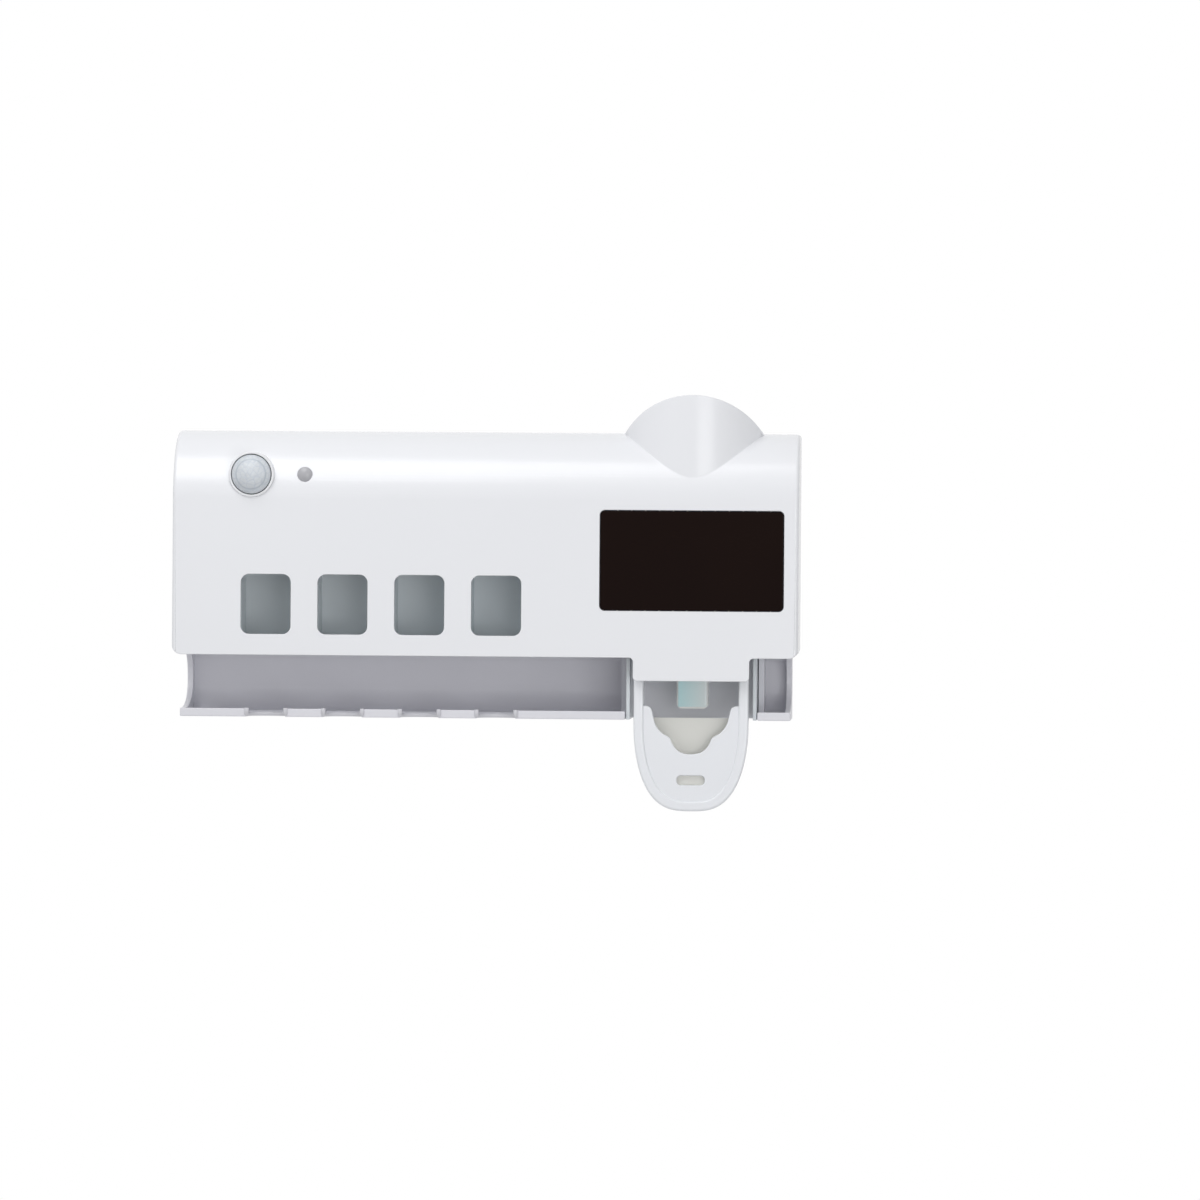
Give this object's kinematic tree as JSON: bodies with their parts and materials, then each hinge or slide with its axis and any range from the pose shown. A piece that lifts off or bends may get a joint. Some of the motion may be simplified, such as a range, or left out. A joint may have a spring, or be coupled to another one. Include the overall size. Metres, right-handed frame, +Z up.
{
  "type": "uv toothbrush holder",
  "caption": "Wall-hung holder with a rounded white cover, windows for brush heads, an ultraviolet chamber, a solar window and a push-lever toothpaste dispenser.",
  "frame": {"origin": "middle of the adhesive pad's face that sticks to the wall", "axes": "+X to the right as seen from the room, +Y into the wall, +Z up"},
  "size_m": [0.228, 0.0492, 0.1513],
  "materials": {
    "white_shell": "satin gloss moulded plastic",
    "white_trim": "satin gloss moulded plastic",
    "grey_shell": "silver-grey moulded plastic",
    "liner": "light grey moulded plastic",
    "clear_plastic": "clear moulded plastic",
    "frosted_plastic": "frosted translucent plastic",
    "blue_tint": "blue-tinted translucent plastic",
    "silicone": "matt silicone",
    "frosted_lens": "milky faceted lens",
    "smoked_lens": "smoked clear plastic",
    "black_glass": "glossy black resin",
    "silicon": "solar cell on a thin board",
    "steel": "plated pressed steel",
    "screw_steel": "zinc-plated steel",
    "green_board": "green circuit board",
    "lamp_glass": "clear resin lamp",
    "battery_wrap": "blue shrink wrap",
    "lead_sheath": "insulated wire",
    "foam": "double-sided foam tape"
  },
  "bodies": {
    "wall_mount": {"adhesive_pad": "foam", "wall_plate": "clear_plastic"},
    "holder": {"rear_housing": "grey_shell", "front_cover": "white_shell", "brush_chamber": "liner", "solar_window": "black_glass", "solar_cell": "silicon", "sensor_bezel": "white_trim", "sensor_lens": "frosted_lens", "motion_sensor": "steel", "indicator_led": "smoked_lens", "sensor_board": "green_board", "sensor_board_screw_1": "screw_steel", "sensor_board_screw_2": "screw_steel", "cover_screw_1": "screw_steel", "cover_screw_2": "screw_steel", "cover_screw_3": "screw_steel", "cover_screw_4": "screw_steel", "cover_screw_5": "screw_steel", "cover_screw_6": "screw_steel", "main_board": "green_board", "main_board_screw_1": "screw_steel", "main_board_screw_2": "screw_steel", "usb_socket": "steel", "uv_board": "green_board", "uv_board_screw_1": "screw_steel", "uv_board_screw_2": "screw_steel", "uv_lamp_1": "lamp_glass", "uv_lamp_2": "lamp_glass", "uv_lamp_3": "lamp_glass", "uv_lamp_4": "lamp_glass", "battery": "battery_wrap", "battery_tape": "foam", "battery_lead": "lead_sheath", "uv_lead": "lead_sheath", "solar_lead": "lead_sheath"},
    "dispenser": {"cassette": "clear_plastic", "tube_seal": "silicone", "pump_bellows": "silicone"},
    "push_lever": {"lever": "frosted_plastic"},
    "plunger": {"piston": "white_trim", "nozzle": "blue_tint"}
  },
  "joints": [
    {"name": "holder_lift", "type": "slide", "parent": "wall_mount", "child": "holder", "axis": [0, 0, 1], "range_m": [0, 0.014]},
    {"name": "cassette_slide", "type": "slide", "parent": "holder", "child": "dispenser", "axis": [0, 0, -1], "range_m": [0, 0.066]},
    {"name": "lever_hinge", "type": "hinge", "parent": "dispenser", "child": "push_lever", "pos_m": [0.0752, -0.03, -0.022], "axis": [1, 0, 0], "range_deg": [0, 20], "stiffness_Nm_per_rad": 0.15, "springref_deg": -3.44},
    {"name": "plunger_slide", "type": "slide", "parent": "dispenser", "child": "plunger", "axis": [0, 0, 1], "range_m": [0, 0.0032], "deforming": ["pump_bellows"]}
  ],
  "couplings": [
    {"joint": "plunger_slide", "follows": "lever_hinge", "m_per_rad": 0.0083}
  ]
}
